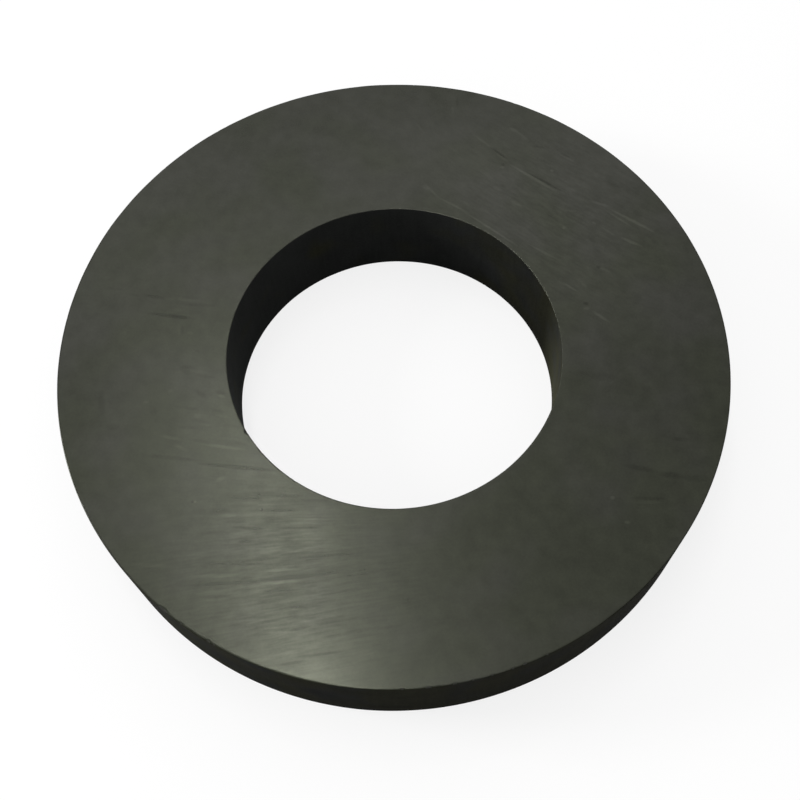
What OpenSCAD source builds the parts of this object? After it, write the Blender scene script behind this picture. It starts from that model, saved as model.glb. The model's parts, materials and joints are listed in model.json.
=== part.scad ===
// Ring magnet: a hard-ferrite ring, pressed and fired in one piece, with both pole faces
// ground flat. It lies on its bottom pole face, centred on the origin, with its bore along Z.

/* [Ring] */
// Outside diameter
outer_d = 100; // [70:1:160]
// Bore diameter, straight through
bore_d = 50; // [12:1:64]
// Thickness from pole face to pole face
thickness = 16; // [6:0.5:30]

/* [Corners] */
// Width of the worn corner round the outside of each pole face
rim_break = 0.2; // [0.1:0.05:1.5]
// Width of the worn corner round each mouth of the bore
mouth_break = 0.2; // [0.1:0.05:1.5]

/* [Flakes] */
// Length along the corner of the largest flake knocked off the outside rim
rim_flake = 2.2; // [0.8:0.1:4]
// Depth of that flake below the worn corner
rim_flake_depth = 0.15; // [0.1:0.05:0.6]
// Length along the corner of the flake knocked off the mouth of the bore
mouth_flake = 0.9; // [0.6:0.1:3]
// Depth of that flake below the worn corner
mouth_flake_depth = 0.2; // [0.1:0.05:0.6]

/* [Hidden] */

outer_r = outer_d / 2;
bore_r = bore_d / 2;
ferrite = [0.18, 0.18, 0.16];
ring_facets = 180;
flake_facets = 36;

// Flakes off the top rim: [bearing round the ring, size as a share of the largest flake].
// Bearings run anticlockwise from +X.
top_rim_flakes = [
    [-128, 1], [-118, 0.3], [-88, 0.35], [-84, 0.4], [-82.5, 0.3], [-80, 0.5]
];
// Bearing of the flake off the top mouth of the bore
mouth_flake_bearing = -148;

// Half of the ring's cross-section, with its four corners worn down
module section() {
    polygon([
        [bore_r, mouth_break],
        [bore_r + mouth_break, 0],
        [outer_r - rim_break, 0],
        [outer_r, rim_break],
        [outer_r, thickness - rim_break],
        [outer_r - rim_break, thickness],
        [bore_r + mouth_break, thickness],
        [bore_r, thickness - mouth_break]
    ]);
}

// The shell-shaped hollow that a flake leaves in the top corner at this radius, which is worn
// down by this width. The open air lies outwards from the corner where out is 1, and towards
// the axis where it is -1, in the bore.
module flake(bearing, radius, out, worn, length, depth) {
    ball_r = (pow(length / 2, 2) + pow(depth, 2)) / (2 * depth);
    stand_off = (ball_r - depth) / sqrt(2) - worn / 2;
    rotate([0, 0, bearing])
        translate([radius + out * stand_off, 0, thickness + stand_off])
            sphere(r = ball_r, $fn = flake_facets);
}

module magnet_ring() {
    color(ferrite)
        difference() {
            rotate_extrude($fn = ring_facets) section();
            for (f = top_rim_flakes)
                flake(f[0], outer_r, 1, rim_break, rim_flake * f[1], rim_flake_depth * f[1]);
            flake(mouth_flake_bearing, bore_r, -1, mouth_break, mouth_flake, mouth_flake_depth);
        }
}

magnet_ring();
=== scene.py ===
import json
import math
import random

import bmesh
import bpy
from mathutils import Matrix, Vector, noise


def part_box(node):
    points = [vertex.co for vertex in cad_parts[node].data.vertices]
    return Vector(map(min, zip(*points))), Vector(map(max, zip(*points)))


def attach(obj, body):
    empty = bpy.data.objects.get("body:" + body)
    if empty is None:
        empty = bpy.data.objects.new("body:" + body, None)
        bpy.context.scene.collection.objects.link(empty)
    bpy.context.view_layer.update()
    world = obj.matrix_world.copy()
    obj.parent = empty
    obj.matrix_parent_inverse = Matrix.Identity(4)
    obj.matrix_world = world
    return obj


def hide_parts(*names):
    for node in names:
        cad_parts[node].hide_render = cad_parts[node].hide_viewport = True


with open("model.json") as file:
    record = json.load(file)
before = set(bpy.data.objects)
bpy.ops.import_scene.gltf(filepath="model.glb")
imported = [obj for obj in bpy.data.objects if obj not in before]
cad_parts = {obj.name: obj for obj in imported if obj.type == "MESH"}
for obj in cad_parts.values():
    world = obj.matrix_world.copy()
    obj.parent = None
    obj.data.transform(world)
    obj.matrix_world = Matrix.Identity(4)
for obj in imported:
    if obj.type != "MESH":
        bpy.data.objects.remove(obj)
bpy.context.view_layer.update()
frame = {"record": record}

# --- The ring ---------------------------------------------------------------------------
# One piece of hard ferrite, pressed from powder in a die and fired. The outside and the bore keep
# their fired skin, and both pole faces are ground flat. Handling has rubbed down the sharp corners
# that grinding leaves, nibbled them all round and knocked off a few larger flakes.
ring_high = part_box("magnet_ring")[1]
inside_box = 0.000001
outer_radius = ring_high.x - inside_box
thickness = ring_high.z
bore_mount = next(m for m in frame["record"]["mounts"] if m["name"] == "bore")
bore_radius = bore_mount["dims"]["r_mm"] / 1000

sectors = 30
sector_steps = 40
ring_steps = sectors * sector_steps
weld = 0.000005
corner_steps = (0.00007, 0.00016, 0.00028, 0.00044, 0.00066, 0.00095, 0.0014)
face_cuts = 5
wall_cuts = 3

ring_mesh = bmesh.new()
section = [
    ring_mesh.verts.new((radius, 0, height))
    for radius, height in (
        (bore_radius, 0),
        (outer_radius, 0),
        (outer_radius, thickness),
        (bore_radius, thickness),
    )
]
sides = [ring_mesh.edges.new(ends) for ends in zip(section, section[1:] + section[:1])]
for side in sides:
    for corner in side.verts[:]:
        walked = 0
        for step in corner_steps:
            share = (step - walked) / side.calc_length()
            corner = bmesh.utils.edge_split(side, corner, share)[1]
            walked = step
bmesh.ops.subdivide_edges(ring_mesh, edges=sides[0::2], cuts=face_cuts)
bmesh.ops.subdivide_edges(ring_mesh, edges=sides[1::2], cuts=wall_cuts)

# One sector is spun, and copies of it are spun into the whole ring
bmesh.ops.spin(
    ring_mesh,
    geom=ring_mesh.verts[:] + ring_mesh.edges[:],
    axis=(0, 0, 1),
    angle=math.tau / sectors,
    steps=sector_steps,
)
bmesh.ops.spin(
    ring_mesh,
    geom=ring_mesh.verts[:] + ring_mesh.edges[:] + ring_mesh.faces[:],
    axis=(0, 0, 1),
    angle=math.tau * (sectors - 1) / sectors,
    steps=sectors - 1,
    use_duplicate=True,
)
bmesh.ops.remove_doubles(ring_mesh, verts=ring_mesh.verts, dist=weld)
bmesh.ops.recalc_face_normals(ring_mesh, faces=ring_mesh.faces)

# The four corners, each as its radius, its height and which way the open air lies from it
corners = {
    "top_rim": (outer_radius, thickness, 1, 1),
    "bottom_rim": (outer_radius, 0, 1, -1),
    "top_mouth": (bore_radius, thickness, -1, 1),
    "bottom_mouth": (bore_radius, 0, -1, -1),
}


def bearing_step(x, y):
    """Which step round the ring is at this bearing."""
    return round(math.atan2(y, x) / math.tau * ring_steps) % ring_steps


# The points near each corner, by the corner's name and their step round the ring
corner_zone = 1.01 * corner_steps[-1]
corner_verts = {}
for vert in ring_mesh.verts:
    from_axis = math.hypot(vert.co.x, vert.co.y)
    for name, (radius, height, out, up) in corners.items():
        from_corner = max(out * (radius - from_axis), up * (height - vert.co.z))
        if from_corner < corner_zone:
            place = name, bearing_step(vert.co.x, vert.co.y)
            corner_verts.setdefault(place, []).append(vert)

# The sharp corner is rubbed down to a small round, a little more in some places than others
least_round = 0.00010
most_round = 0.00024
mouth_share = 0.6
wear_spot = 0.004
corner_gap = 7
for (name, step), verts in corner_verts.items():
    radius, height, out, up = corners[name]
    bearing = step / ring_steps * math.tau
    place = Vector((math.cos(bearing), math.sin(bearing), 0)) * radius / wear_spot
    place.z = corner_gap * height / thickness
    worn = least_round + (most_round - least_round) * (0.5 + 0.5 * noise.noise(place))
    if radius == bore_radius:
        worn *= mouth_share
    for vert in verts:
        flat = Vector((vert.co.x, vert.co.y))
        from_wall = out * (radius - flat.length)
        from_face = up * (height - vert.co.z)
        if max(from_wall, from_face) < worn:
            inward = Vector((worn - from_wall, worn - from_face))
            inward *= worn / inward.length
            flat *= (radius - out * (worn - inward.x)) / flat.length
            vert.co = (flat.x, flat.y, height - up * (worn - inward.y))

# The flakes that were knocked off: the corner, the bearing in degrees, the length and the depth
large_flakes = [
    ("top_rim", -128, 0.0022, 0.00023),
    ("top_rim", -118, 0.0006, 0.00015),
    ("top_rim", -88, 0.0008, 0.00018),
    ("top_rim", -84, 0.0009, 0.00019),
    ("top_rim", -82.5, 0.0006, 0.00016),
    ("top_rim", -80, 0.0011, 0.00018),
    ("top_mouth", -148, 0.0009, 0.0003),
]
small_flakes = [
    ("top_rim", -124.3, 0.0008, 0.00019),
    ("top_rim", -122.1, 0.0006, 0.00016),
    ("top_rim", -119.2, 0.0010, 0.00021),
    ("top_rim", -77.2, 0.0007, 0.00018),
    ("top_rim", -74.3, 0.0008, 0.00019),
    ("top_rim", -70.9, 0.0007, 0.00018),
    ("top_rim", -69.0, 0.0009, 0.00020),
    ("top_rim", -65.3, 0.0006, 0.00016),
]
flake_lean = 45
flakes = [
    (name, math.radians(bearing), long, deep, flake_lean)
    for name, bearing, long, deep in large_flakes + small_flakes
]

# Fine nibbles all round every corner, most of them close to the shortest
nibble_spacing = 0.0023
shortest_nibble = 0.00022
nibble_spread = 0.00050
mostly_short = 2.5
nibble_depths = 0.10, 0.20
nibble_leans = 25, 65
draw = random.Random(41)
for name, (radius, height, out, up) in corners.items():
    for _ in range(round(math.tau * radius / nibble_spacing)):
        long = shortest_nibble + nibble_spread * draw.random() ** mostly_short
        deep = long * draw.uniform(*nibble_depths)
        bearing = draw.uniform(0, math.tau)
        flakes.append((name, bearing, long, deep, draw.uniform(*nibble_leans)))

# A ball stands off the corner, and every point inside it is pushed back to its surface
broken = set()
for name, bearing, long, deep, lean in flakes:
    radius, height, out, up = corners[name]
    ball = (long**2 / 4 + deep**2) / (2 * deep)
    stand_off = ball - deep
    from_axis = radius + out * stand_off * math.cos(math.radians(lean))
    centre = Vector((from_axis * math.cos(bearing), from_axis * math.sin(bearing), height))
    centre.z += up * stand_off * math.sin(math.radians(lean))
    middle = round(bearing / math.tau * ring_steps)
    span = math.ceil(long / radius / math.tau * ring_steps) + 1
    for step in range(middle - span, middle + span + 1):
        for vert in corner_verts.get((name, step % ring_steps), ()):
            away = vert.co - centre
            if away.length < ball:
                vert.co = centre + away * (ball / away.length)
                broken.add(vert)

# The shine of the pole faces runs over the worn rim, but stops short of the worn mouth
ground, fired, fracture = range(3)
rim_shine, mouth_shine = 0.5, 0.9
least_slope, most_slope = 0.02, 0.998
broken_corners = 3
halfway = (bore_radius + outer_radius) / 2
for face in ring_mesh.faces:
    in_mouth = face.calc_center_median().xy.length < halfway
    face.smooth = not (in_mouth and least_slope < abs(face.normal.z) < most_slope)
    ground_from = mouth_shine if in_mouth else rim_shine
    if len(broken.intersection(face.verts)) >= broken_corners:
        face.material_index = fracture
    elif abs(face.normal.z) > ground_from:
        face.material_index = ground
    else:
        face.material_index = fired

ring_data = bpy.data.meshes.new("ferrite_ring")
ring_mesh.to_mesh(ring_data)
ring_mesh.free()
ring = bpy.data.objects.new("ferrite_ring", ring_data)
bpy.context.scene.collection.objects.link(ring)


def add_node(tree, kind, inputs=None, **settings):
    """Adds a node, with each input either linked to another node's output or set to a value."""
    made = tree.nodes.new(kind)
    for name, value in settings.items():
        setattr(made, name, value)
    for key, value in (inputs or {}).items():
        if isinstance(value, bpy.types.NodeSocket):
            tree.links.new(value, made.inputs[key])
        else:
            made.inputs[key].default_value = value
    return made


def calc(tree, operation, *values, clamp=False):
    inputs = dict(enumerate(values))
    made = add_node(tree, "ShaderNodeMath", inputs, operation=operation, use_clamp=clamp)
    return made.outputs[0]


def new_finish(name):
    """A material with only its surface shader, and its own coordinates in millimetres."""
    material = bpy.data.materials.new(name)
    material.use_nodes = True
    tree = material.node_tree
    own = add_node(tree, "ShaderNodeTexCoord").outputs["Object"]
    millimetres = add_node(
        tree, "ShaderNodeVectorMath", {0: own, "Scale": 1000}, operation="SCALE"
    ).outputs[0]
    return material, tree, tree.nodes["Principled BSDF"], millimetres


def split(tree, vector):
    return add_node(tree, "ShaderNodeSeparateXYZ", {0: vector}).outputs[:]


def join(tree, x, y, z):
    return add_node(tree, "ShaderNodeCombineXYZ", {0: x, 1: y, 2: z}).outputs[0]


def distance(tree, x, y):
    """How far this place is from the upright line through 0, 0."""
    flat = join(tree, x, y, 0)
    length = add_node(tree, "ShaderNodeVectorMath", {0: flat}, operation="LENGTH")
    return length.outputs["Value"]


def grain(tree, spot, size, detail=0.0):
    """Soft random light and dark either side of 0, with spots of this size."""
    settings = {"Vector": spot, "Scale": 1 / size, "Detail": detail}
    return calc(tree, "SUBTRACT", add_node(tree, "ShaderNodeTexNoise", settings).outputs[0], 0.5)


def total(tree, start, *shares):
    """Adds to the start each value times its share."""
    for value, share in shares:
        start = calc(tree, "MULTIPLY_ADD", value, share, start)
    return start


def mark(tree, place, x, y, long, wide, slant, sharp=1.8, deep=1):
    """Is 1 along the middle of a mark at the top face's height, and falls to 0 all round it."""
    turn = (0, 0, math.radians(slant))
    stretch = {"Location": (x, y, 1000 * thickness), "Scale": (0.6 * long, wide, deep)}
    stretch.update(Vector=place, Rotation=turn)
    own = add_node(tree, "ShaderNodeMapping", stretch, vector_type="TEXTURE").outputs[0]
    spot = add_node(tree, "ShaderNodeTexGradient", {0: own}, gradient_type="SPHERICAL")
    return calc(tree, "MULTIPLY", spot.outputs["Fac"], sharp, clamp=True)


def blend(tree, first, second, share):
    """Goes from the first colour to the second as the share goes from 0 to 1."""
    inputs = {"Factor": share, "A": first, "B": second}
    return add_node(tree, "ShaderNodeMix", inputs, data_type="RGBA").outputs["Result"]


def paint(tree, surface, colour, tone):
    """Gives the surface this colour, made lighter or darker by the tone."""
    shaded = add_node(
        tree, "ShaderNodeVectorMath", {0: colour, "Scale": tone}, operation="SCALE"
    )
    tree.links.new(shaded.outputs[0], surface.inputs["Base Color"])


def roughen(tree, surface, relief, height):
    """Makes the surface look raised by the relief times this height in metres."""
    inputs = {"Height": relief, "Distance": height, "Strength": 1.0}
    bump = add_node(tree, "ShaderNodeBump", inputs)
    tree.links.new(bump.outputs[0], surface.inputs["Normal"])


# Scratches, rubs and pits on the top face, in millimetres: the middle of each, its length, its
# width, its slant in degrees, and how much lighter (or, below 0, darker) it looks
scratches_and_painted_pits = [
    # Along the grinding lines at the front left
    (-22.0, -18.8, 11.0, 0.42, -5.5, -0.33),
    (-31.5, -17.4, 9.0, 0.40, -6.0, -0.15),
    (-24.2, -15.7, 6.0, 0.34, -7.0, 0.22),
    (-31.8, -14.3, 3.0, 0.35, -12.0, 0.14),
    (-24.4, -20.6, 1.6, 0.45, 25.0, 0.16),
    (-20.8, -23.45, 4.4, 0.24, -2.0, -0.28),
    (-14.8, -23.1, 4.0, 0.26, 0.0, -0.17),
    (-10.8, -23.8, 4.0, 0.28, 0.0, -0.16),
    (-15.5, -25.35, 4.5, 0.26, 0.0, -0.16),
    (-22.8, -26.0, 2.2, 0.35, 0.0, 0.14),
    (-20.0, -27.85, 4.2, 0.32, -3.0, -0.24),
    (-13.0, -27.85, 7.0, 0.26, 1.0, -0.22),
    (-12.0, -26.55, 5.5, 0.22, -1.0, 0.18),
    (-12.4, -27.15, 5.0, 0.22, 0.0, 0.16),
    (-20.6, -28.6, 3.4, 0.35, 1.0, 0.16),
    (-20.3, -29.75, 2.0, 0.32, 4.0, -0.26),
    (-11.8, -29.4, 5.0, 0.24, 2.0, 0.16),
    (-9.0, -31.8, 10.0, 0.28, 4.0, -0.24),
    (-33.2, -33.15, 6.0, 0.38, -3.0, 0.2),
    (-20.8, -33.0, 8.0, 0.26, 0.0, -0.22),
    (-23.5, -34.65, 8.0, 0.36, 2.0, 0.22),
    (-15.0, -33.85, 6.0, 0.30, 3.0, 0.26),
    (-23.0, -35.75, 11.0, 0.34, 3.5, -0.24),
    (-14.0, -34.9, 11.0, 0.40, 5.5, -0.34),
    (-14.8, -35.5, 6.0, 0.32, 4.0, 0.3),
    (-15.0, -36.7, 5.0, 0.24, 3.0, -0.22),
    (-23.6, -37.5, 5.0, 0.28, 3.0, -0.16),
    (-24.0, -38.0, 5.0, 0.28, 2.0, 0.16),
    (-12.4, -39.0, 2.6, 0.26, 0.0, -0.22),
    (-12.5, -41.6, 9.0, 0.24, 4.0, 0.14),
    (-14.8, -42.4, 5.0, 0.22, 3.0, 0.18),
    (-9.0, -45.3, 7.0, 0.24, 7.0, -0.2),
    (-13.0, -46.5, 4.0, 0.30, 9.0, -0.26),
    # Rubs and dashes at the left
    (-34.2, 5.75, 7.4, 0.42, -7.5, -0.26),
    (-32.6, 5.5, 3.0, 0.45, -5.0, -0.15),
    (-33.4, 6.6, 2.4, 0.50, 6.0, 0.07),
    (-36.8, 9.05, 3.4, 0.40, -9.0, -0.17),
    (-29.8, 7.6, 6.0, 0.35, -3.0, -0.11),
    (-32.0, 8.5, 3.6, 0.45, -12.0, 0.09),
    (-28.3, -7.3, 2.2, 0.50, -32.0, -0.15),
    (-25.4, -7.1, 1.6, 0.40, -15.0, -0.15),
    (-25.2, -7.7, 1.2, 0.35, -20.0, 0.2),
    (-31.0, -3.4, 2.0, 0.70, -42.0, -0.14),
    (-34.9, -10.2, 1.2, 0.60, 0.0, -0.13),
    (-28.5, -10.9, 1.0, 0.40, 0.0, 0.14),
    (-26.0, -12.5, 2.0, 0.30, 0.0, -0.13),
    (-42.7, -9.0, 3.6, 0.60, -78.0, -0.12),
    (-40.6, -12.6, 1.8, 0.70, 0.0, -0.12),
    (-34.5, 8.66, 1.7, 0.35, -6.5, 0.1),
    (-31.2, 8.43, 3.7, 0.32, -4.3, 0.14),
    (-39.9, 9.37, 2.1, 0.35, -7.7, -0.1),
    (-43.1, 10.46, 3.0, 0.40, -7.4, -0.09),
    (-32.5, 3.31, 1.9, 0.30, -82.2, 0.12),
    (-32.0, 3.31, 1.9, 0.30, -82.3, -0.1),
    (-34.0, 3.07, 1.2, 0.35, -52.8, -0.09),
    (-30.8, 2.80, 1.0, 0.40, -21.6, 0.14),
    (-29.4, -0.30, 0.9, 0.30, -11.3, -0.12),
    (-29.3, -3.59, 2.9, 0.35, -13.1, 0.1),
    (-30.5, -2.90, 1.9, 0.35, -11.0, -0.1),
    (-27.9, -4.46, 3.1, 0.35, -8.3, -0.09),
    (-30.0, -9.57, 3.6, 0.35, -8.2, -0.11),
    (-28.3, -10.69, 2.8, 0.30, -8.7, 0.09),
    (-25.6, -10.00, 2.1, 0.30, -14.4, -0.12),
    (-24.8, -10.90, 2.2, 0.30, -11.1, 0.12),
    (-28.3, -11.61, 2.7, 0.30, -12.1, -0.12),
    (-26.4, -12.39, 3.2, 0.30, -7.7, 0.1),
    (-29.7, -12.67, 2.8, 0.30, -2.7, -0.1),
    (-23.4, -12.39, 2.2, 0.30, -11.0, -0.12),
    (-32.5, -14.19, 2.5, 0.35, -14.8, 0.13),
    (-27.8, -14.76, 3.2, 0.30, -9.1, -0.12),
    (-30.4, -15.85, 2.2, 0.35, -22.5, 0.14),
    (-21.9, -15.24, 2.5, 0.30, -14.8, -0.11),
    (-23.3, -14.45, 3.5, 0.30, -4.8, 0.1),
    # Across the back right
    (5.5, 28.6, 3.4, 0.26, -50.0, 0.2),
    (9.0, 25.8, 6.0, 0.24, -31.0, 0.26),
    (14.8, 21.4, 11.0, 0.24, -37.5, 0.37),
    (4.6, 29.1, 1.4, 0.42, -40.0, 0.2),
    (3.6, 41.0, 2.6, 0.30, -55.0, 0.12),
    (9.1, 44.6, 1.6, 0.30, 90.0, 0.14),
    (9.9, 46.2, 2.0, 0.30, 90.0, -0.16),
    (14.0, 38.2, 4.6, 0.26, -42.0, 0.19),
    (16.5, 35.9, 3.6, 0.30, -41.0, -0.32),
    (17.0, 35.0, 2.8, 0.26, -41.0, 0.17),
    (14.6, 31.4, 2.6, 0.28, -35.0, 0.15),
    (16.1, 28.9, 1.8, 0.36, -35.0, 0.17),
    (17.0, 29.4, 1.4, 0.36, -35.0, -0.18),
    (19.0, 26.1, 2.6, 0.30, -33.0, 0.19),
    (22.0, 30.9, 9.5, 0.30, -36.0, 0.34),
    (23.5, 30.4, 6.5, 0.30, -34.0, -0.4),
    (19.1, 40.5, 1.6, 0.42, -33.0, 0.31),
    (20.5, 39.3, 3.2, 0.30, -46.0, 0.2),
    (23.0, 37.1, 2.2, 0.34, -10.0, -0.14),
    (27.7, 34.8, 2.6, 0.28, -33.0, 0.19),
    (27.4, 35.3, 1.8, 0.28, -33.0, -0.14),
    (34.8, 29.7, 2.6, 0.34, -30.0, -0.14),
    (27.9, 28.9, 1.8, 0.28, -35.0, 0.17),
    (27.6, 24.7, 2.0, 0.26, -5.0, 0.14),
    (32.4, 26.0, 3.6, 0.32, -20.0, 0.2),
    (37.3, 22.8, 7.6, 0.32, -33.0, 0.37),
    (35.3, 23.1, 4.6, 0.24, -38.0, 0.22),
    (36.8, 18.9, 3.6, 0.34, -27.0, 0.34),
    (33.4, 20.8, 3.0, 0.24, -38.0, 0.15),
    (23.2, 16.9, 5.4, 0.26, -32.0, 0.24),
    (26.9, 10.7, 2.6, 0.23, -35.0, 0.31),
    (29.0, 11.1, 1.0, 0.26, -35.0, 0.19),
    (32.4, 13.8, 1.8, 0.28, -25.0, 0.19),
    (31.4, 14.3, 0.8, 0.36, 0.0, -0.18),
    (31.2, 5.6, 3.0, 0.32, -38.0, 0.29),
    # Rubs at the right
    (30.2, -4.4, 8.0, 0.80, -10.0, -0.09),
    (35.3, -19.0, 5.0, 0.50, -12.0, -0.15),
    (39.5, -20.0, 3.6, 0.60, -6.0, -0.17),
    (43.2, -20.5, 4.0, 0.70, -3.0, -0.14),
    (36.2, -23.5, 5.0, 0.30, -2.0, -0.14),
    (36.0, -24.1, 4.0, 0.28, 0.0, 0.14),
    (41.5, -14.5, 3.0, 0.40, -3.0, -0.12),
    # Pits, painted as dark spots of shade in their hollows and light spots of glint on their lips,
    # some as only one of these
    (-18.3, -25.2, 0.4, 0.26, 0.0, -0.41),
    (-28.1, -24.0, 0.4, 0.24, 0.0, -0.25),
    (-27.7, -24.0, 0.4, 0.24, 0.0, 0.25),
    (17.2, 33.6, 0.6, 0.35, 0.0, -0.25),
    (17.0, 33.0, 0.7, 0.30, 0.0, 0.2),
    (25.0, 32.4, 0.6, 0.30, 0.0, 0.3),
    (26.4, 21.5, 0.6, 0.32, 0.0, 0.3),
    (31.2, 22.4, 0.8, 0.30, -30.0, 0.24),
    (29.1, 7.85, 0.9, 0.35, 0.0, -0.21),
    (29.1, 7.05, 1.0, 0.36, 0.0, 0.28),
    (31.0, -23.4, 0.7, 0.34, 0.0, 0.42),
    (32.8, -27.0, 0.9, 0.28, 0.0, 0.42),
    (-36.2, -8.6, 0.9, 0.28, 0.0, 0.2),
    (-32.8, -6.8, 0.9, 0.35, 0.0, 0.14),
    (39.2, -29.5, 1.8, 0.50, -3.0, -0.1),
]

# Wide, faint patches that make the face lighter or darker, and smoother or rougher, in places; the
# strong light one at the front rim is a painted highlight that brightens the lamp's reflection
# there
patches_and_painted_highlight = [
    (14, 31, 26, 10, -35, 0.22),
    (0, 54, 80, 18, 0, -0.55),
    (-26, 37, 44, 20, 35, -0.30),
    (-45, -4, 26, 9, 90, -0.20),
    (32, -3, 26, 18, 80, -0.26),
    (-25, -29, 12, 9, 0, -0.24),
    (-12, -34, 9, 4, 0, -0.24),
    (-11, -28, 10, 4, 0, 0.24),
    (5, -41, 14, 9, 10, -0.28),
    (-3, -33, 12, 9, 90, -0.20),
    (-11, -50, 22, 10, 5, 0.9),
    (-41, -21, 20, 10, -60, 0.26),
]

# Ground pole face: straight grinding lines that fan out a little, crossed at the back right by
# the wide arcs of the wheel
face_finish, tree, surface, place = new_finish("ground_ferrite")
surface.inputs["Specular IOR Level"].default_value = 0.341
surface.inputs["Specular Tint"].default_value = (0.96, 1.0, 0.80, 1)
x, y, z = split(tree, place)
fan_depth, fan_shift, fan_start, fan_slope = 12, 2, 15, 0.2
fan = calc(tree, "TANH", calc(tree, "MULTIPLY_ADD", y, 1 / fan_depth, fan_shift))
fanned = calc(tree, "MULTIPLY", fan, calc(tree, "ADD", x, fan_start))
across = total(tree, y, (fanned, fan_slope))
line_stretch, dash_stretch, arc_stretch = 0.06, 0.13, 0.11
lines = join(tree, calc(tree, "MULTIPLY", x, line_stretch), across, z)
dashes = join(tree, calc(tree, "MULTIPLY", x, dash_stretch), across, z)
wheel_x, wheel_y = 86, 110
wheel_radius = distance(
    tree, calc(tree, "SUBTRACT", x, wheel_x), calc(tree, "SUBTRACT", y, wheel_y)
)
round_wheel = calc(tree, "MULTIPLY", calc(tree, "SUBTRACT", x, y), arc_stretch)
arcs = join(tree, round_wheel, wheel_radius, z)

fine_lines = grain(tree, dashes, 0.36, 1)
broad_lines = grain(tree, lines, 0.9, 1)
fine_arcs = grain(tree, arcs, 0.35, 1)
broad_arcs = grain(tree, arcs, 1.2, 1)
front_left = mark(tree, place, -15, -36, 40, 22, 5, 1.4)
back_right = mark(tree, place, 24, 24, 45, 26, -35, 1.2)
rub_slant = math.radians(34)
rub_stretch = (0.28, 1, 1)
along_rubs = add_node(
    tree,
    "ShaderNodeVectorRotate",
    {"Vector": place, "Angle": rub_slant},
    rotation_type="Z_AXIS",
)
rubs = add_node(
    tree,
    "ShaderNodeVectorMath",
    {0: along_rubs.outputs[0], 1: rub_stretch},
    operation="MULTIPLY",
).outputs[0]
fine_rubs = calc(tree, "MULTIPLY", grain(tree, rubs, 0.55, 1), back_right)
line_relief = total(tree, 0.0, (fine_lines, 1.2), (broad_lines, 0.6))
arc_relief = total(tree, 0.0, (fine_arcs, 0.6), (broad_arcs, 0.6))
front_lines = calc(tree, "MULTIPLY", line_relief, total(tree, 0.16, (front_left, 1.7)))
back_arcs = calc(tree, "MULTIPLY", arc_relief, total(tree, 0.2, (back_right, 1.4)))

marks_and_painted_pits = 0.0
for *form, strength in scratches_and_painted_pits:
    marks_and_painted_pits = total(tree, marks_and_painted_pits, (mark(tree, place, *form), strength))
marks_and_painted_pits = calc(tree, "MULTIPLY", marks_and_painted_pits, total(tree, 1.0, (fine_lines, 1.2)))
# The patches, among them the painted highlight at the front rim
patchiness_and_painted_highlight = 1.0
for *form, strength in patches_and_painted_highlight:
    patchiness_and_painted_highlight = total(tree, patchiness_and_painted_highlight, (mark(tree, place, *form, 1), strength))

tone = total(
    tree,
    patchiness_and_painted_highlight,
    (grain(tree, place, 0.35, 2), 0.5),
    (fine_rubs, 0.9),
    (grain(tree, place, 2.2, 1), 0.75),
    (grain(tree, place, 9, 1), 0.6),
    (front_lines, 0.6),
    (back_arcs, 0.45),
    (marks_and_painted_pits, 2.2),
)
stain = total(tree, 0.45, (grain(tree, place, 9, 1), 3), (y, 0.011))
ground_olive = (0.0196, 0.0214, 0.0150, 1)
ground_grey = (0.0209, 0.0207, 0.0191, 1)
paint(tree, surface, blend(tree, ground_olive, ground_grey, stain), tone)
polish = total(
    tree,
    0.259,
    (front_lines, -0.06),
    (back_arcs, -0.01),
    (marks_and_painted_pits, -0.10),
    (calc(tree, "SUBTRACT", patchiness_and_painted_highlight, 1), -0.07),
    (grain(tree, place, 4, 1), 0.01),
)
dullest = 0.272
tree.links.new(calc(tree, "MINIMUM", polish, dullest), surface.inputs["Roughness"])
roughen(tree, surface, calc(tree, "ADD", front_lines, back_arcs), 0.000004)
ring_data.materials.append(face_finish)

# Fired skin of the outside and the bore: dull and finely speckled, with faint upright lines
# where the ring slid out of its die
skin_finish, tree, surface, place = new_finish("fired_skin")
surface.inputs["Roughness"].default_value = 0.9
surface.inputs["Specular IOR Level"].default_value = 0.02
x, y, z = split(tree, place)
die_stretch = 0.08
up_the_die = join(tree, x, y, calc(tree, "MULTIPLY", z, die_stretch))
die_lines = grain(tree, up_the_die, 0.7, 1)
speckle = grain(tree, place, 0.3, 2)
blotch = grain(tree, place, 5, 1)
height = calc(tree, "MULTIPLY", z, 1 / (1000 * thickness))
in_bore = calc(tree, "LESS_THAN", distance(tree, x, y), 1000 * halfway)

# Painted light on one side of the bore, strongest low down: a lighter patch of colour that stands
# in for the light falling there from the left and off the floor
bore_light_spot = mark(tree, place, bore_radius * 1000, -5, 12, 14, 0, 1.7, 60)
painted_bore_light = calc(tree, "MULTIPLY", bore_light_spot, total(tree, 2.3, (height, -1.4)))
olive_side = mark(tree, place, bore_radius * 1000, 4, 34, 26, 0, 1.6, 90)

tone = total(
    tree,
    0.60,
    # painted shade: the walls darker towards the floor
    (height, 0.36),
    (in_bore, 0.46),
    (olive_side, -0.2),
    (die_lines, 0.3),
    (speckle, 0.7),
    (blotch, 0.6),
    # painted light on one side of the bore
    (painted_bore_light, 1.15),
    # painted light and shade: lighter towards -x and darker towards +x, as if lit from the left
    (x, -0.009),
)
stain = total(
    tree, 0.2, (grain(tree, place, 6, 1), 3), (in_bore, 0.9), (olive_side, -0.7), (x, -0.008)
)
fired_olive = (0.0230, 0.0232, 0.0146, 1)
fired_grey = (0.0197, 0.0207, 0.0198, 1)
paint(tree, surface, blend(tree, fired_olive, fired_grey, stain), tone)
roughen(tree, surface, total(tree, 0.0, (die_lines, 0.6), (speckle, 1.0)), 0.000012)
ring_data.materials.append(skin_finish)

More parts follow.
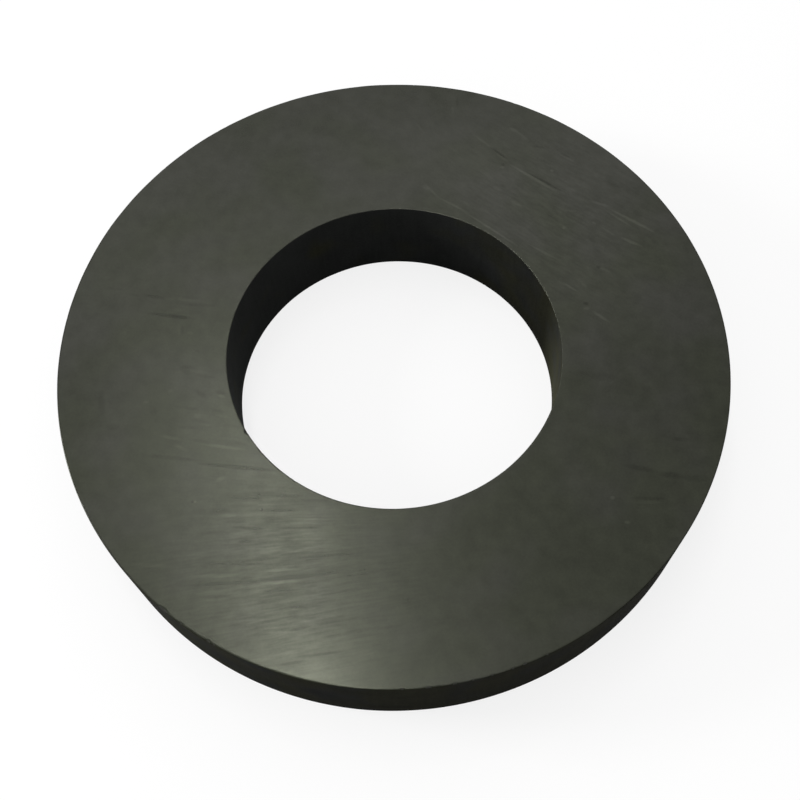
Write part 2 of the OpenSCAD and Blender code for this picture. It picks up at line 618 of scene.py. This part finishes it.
# Fresh break where a flake came off: a shade lighter, with a sugary grain
break_finish, tree, surface, place = new_finish("broken_ferrite")
surface.inputs["Roughness"].default_value = 0.6
surface.inputs["Specular IOR Level"].default_value = 0.1
crystals = grain(tree, place, 0.12, 2)
fresh_grey = (0.040, 0.041, 0.035)
paint(tree, surface, fresh_grey, total(tree, 1.0, (crystals, 1.2)))
roughen(tree, surface, crystals, 0.00002)
ring_data.materials.append(break_finish)

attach(ring, "root")
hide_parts("magnet_ring")

# --- Floor ------------------------------------------------------------------------------
# A plain white sheet, far larger than the view, that the ring lies on. It shows white with the
# ring's soft shadow on it, and sends little light back up on to the ring's walls. From below it
# is clear, so that the underside can be looked at.
floor_radius = 3
below_ring = 0.00002

floor_mesh = bmesh.new()
bmesh.ops.create_circle(floor_mesh, cap_ends=True, segments=96, radius=floor_radius)
floor_data = bpy.data.meshes.new("floor")
floor_mesh.to_mesh(floor_data)
floor_mesh.free()
floor = bpy.data.objects.new("floor", floor_data)
floor.location.z = -below_ring
bpy.context.scene.collection.objects.link(floor)

floor_finish, tree, surface, place = new_finish("white_sheet")
tree.nodes.remove(surface)
sight = add_node(tree, "ShaderNodeLightPath")
seen = calc(tree, "MAXIMUM", sight.outputs["Is Camera Ray"], sight.outputs["Is Glossy Ray"])
seen = calc(tree, "MAXIMUM", seen, sight.outputs["Is Transmission Ray"])
sheet = add_node(tree, "ShaderNodeBsdfDiffuse", {"Color": (0.20, 0.20, 0.20, 1)})
glow = add_node(tree, "ShaderNodeEmission", {"Color": (1, 1, 1, 1), "Strength": 0.80})
bright = add_node(tree, "ShaderNodeAddShader", {0: sheet.outputs[0], 1: glow.outputs[0]})
floor_surface = add_node(
    tree, "ShaderNodeMixShader", {"Fac": seen, 1: sheet.outputs[0], 2: bright.outputs[0]}
)
from_below = add_node(tree, "ShaderNodeNewGeometry").outputs["Backfacing"]
clear = add_node(tree, "ShaderNodeBsdfTransparent")
floor_surface = add_node(
    tree,
    "ShaderNodeMixShader",
    {"Fac": from_below, 1: floor_surface.outputs[0], 2: clear.outputs[0]},
)
tree.links.new(floor_surface.outputs[0], tree.nodes["Material Output"].inputs["Surface"])
floor_data.materials.append(floor_finish)

# --- Light ------------------------------------------------------------------------------
# A long narrow lamp overhead, whose reflection lies across the front left of the ring, a small
# lamp at the left, a wide soft one behind, and an even pale room.
def add_lamp(name, location, long_way, size, power):
    """A lamp aimed at the ring, with its long side as near as can be to this direction."""
    lamp = bpy.data.lights.new(name, "AREA")
    lamp.shape = "RECTANGLE"
    lamp.size, lamp.size_y = size
    lamp.energy = power
    back = Vector(location).normalized()
    across = Vector(long_way).cross(back).normalized()
    holder = bpy.data.objects.new(name, lamp)
    holder.location = location
    turned = Matrix((across, back.cross(across), back)).transposed()
    holder.rotation_euler = turned.to_euler()
    bpy.context.scene.collection.objects.link(holder)


add_lamp("overhead_lamp", (-0.095, 0.083, 0.80), (-0.218, 0.976, 0), (0.03, 0.53), 1.61)
add_lamp("side_lamp", (-0.54, 0.03, 0.28), (0, 0, 1), (0.15, 0.15), 1.60)
add_lamp("back_softbox", (-0.08, 0.55, 0.60), (1, 0, 0), (0.60, 0.60), 0.91)

# The room is paler above than round about, and shows white wherever the floor ends
world = bpy.data.worlds.new("pale_room")
world.use_nodes = True
tree = world.node_tree
room_low, room_high = 0.20, 0.60
pale_from, pale_to = 0.1, 0.7
upward = split(tree, add_node(tree, "ShaderNodeTexCoord").outputs["Generated"])[2]
heights = {"Value": upward, "From Min": pale_from, "From Max": pale_to}
rise = add_node(
    tree, "ShaderNodeMapRange", {**heights, "To Min": room_low, "To Max": room_high}
).outputs[0]
seen = add_node(tree, "ShaderNodeLightPath").outputs["Is Camera Ray"]
room = tree.nodes["Background"]
room.inputs["Color"].default_value = (1, 1, 1, 1)
tree.links.new(calc(tree, "MAXIMUM", rise, seen), room.inputs["Strength"])
bpy.context.scene.world = world

# --- Camera -----------------------------------------------------------------------------
# Hand-held close above the front of the ring, looking down on it, with the lens shifted so that
# the ring sits a little off the middle of the view.
camera_down = math.radians(64.461)

camera_data = bpy.data.cameras.new("camera")
camera_data.sensor_width = 36
camera_data.lens = 52.25
camera_data.shift_x = -0.0362
camera_data.shift_y = -0.0277
camera_data.clip_start = 0.01
camera = bpy.data.objects.new("camera", camera_data)
camera.location = (0.00516, -0.07864, 0.17077)
camera.rotation_euler = (math.pi / 2 - camera_down, 0, 0)
bpy.context.scene.collection.objects.link(camera)
bpy.context.scene.camera = camera

bpy.context.scene.view_settings.view_transform = "Standard"
